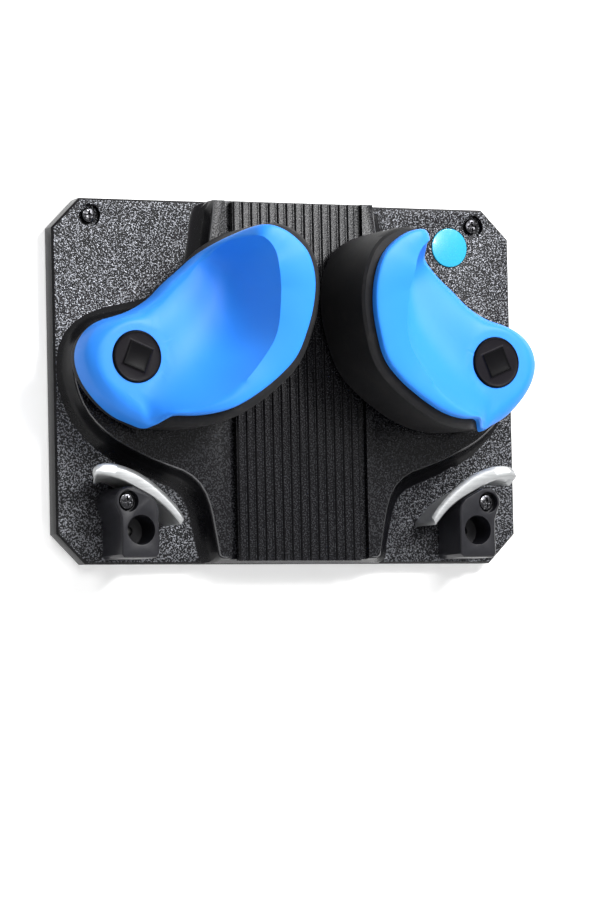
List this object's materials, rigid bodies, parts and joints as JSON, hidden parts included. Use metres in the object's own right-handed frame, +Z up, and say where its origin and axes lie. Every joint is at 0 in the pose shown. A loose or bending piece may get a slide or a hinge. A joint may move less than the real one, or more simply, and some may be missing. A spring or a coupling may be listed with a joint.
{
  "type": "ski wall rack",
  "caption": "Wall rack with opposed pivoting cam arms that grip a pair of skis by their tips, and curved hooks below for pole straps.",
  "frame": {"origin": "centre of the moulding's flat back face, which lies on the wall", "axes": "+Y into the wall, +Z up, +X to the right of someone who faces the rack"},
  "size_m": [0.254, 0.1087, 0.182],
  "materials": {
    "moulding": "fine textured black moulding",
    "arm": "satin bright blue moulding",
    "grip": "matt black rubber",
    "cap": "matt charcoal",
    "saddle": "satin silver",
    "steel": "zinc plated",
    "screw": "black plated",
    "nylon": "natural white",
    "badge": "plain cyan, no lettering"
  },
  "bodies": {
    "frame": {"back_plate": "moulding", "ribbed_pad": "moulding", "badge_blank": "badge", "left_pivot_bolt": "steel", "left_thrust_washer": "nylon", "left_retaining_washer": "steel", "left_pivot_nut": "steel", "left_stop_pin": "steel", "left_hook_bracket": "moulding", "left_hook_saddle": "saddle", "left_saddle_screw": "screw", "right_pivot_bolt": "steel", "right_thrust_washer": "nylon", "right_retaining_washer": "steel", "right_pivot_nut": "steel", "right_stop_pin": "steel", "right_hook_bracket": "moulding", "right_hook_saddle": "saddle", "right_saddle_screw": "screw", "upper_left_wall_screw": "screw", "lower_left_wall_screw": "screw", "upper_right_wall_screw": "screw", "lower_right_wall_screw": "screw"},
    "left_arm": {"left_arm_shell": "arm", "left_arm_grip": "grip", "left_pivot_cap": "cap", "left_pivot_bush": "nylon"},
    "right_arm": {"right_arm_shell": "arm", "right_arm_grip": "grip", "right_pivot_cap": "cap", "right_pivot_bush": "nylon"}
  },
  "joints": [
    {"name": "left_arm_swing", "type": "hinge", "parent": "frame", "child": "left_arm", "pos_m": [-0.0987, -0.03, 0.009], "axis": [0, -1, 0], "range_deg": [-20, 38]},
    {"name": "right_arm_swing", "type": "hinge", "parent": "frame", "child": "right_arm", "pos_m": [0.0987, -0.03, 0.009], "axis": [0, 1, 0], "range_deg": [-20, 38]}
  ]
}
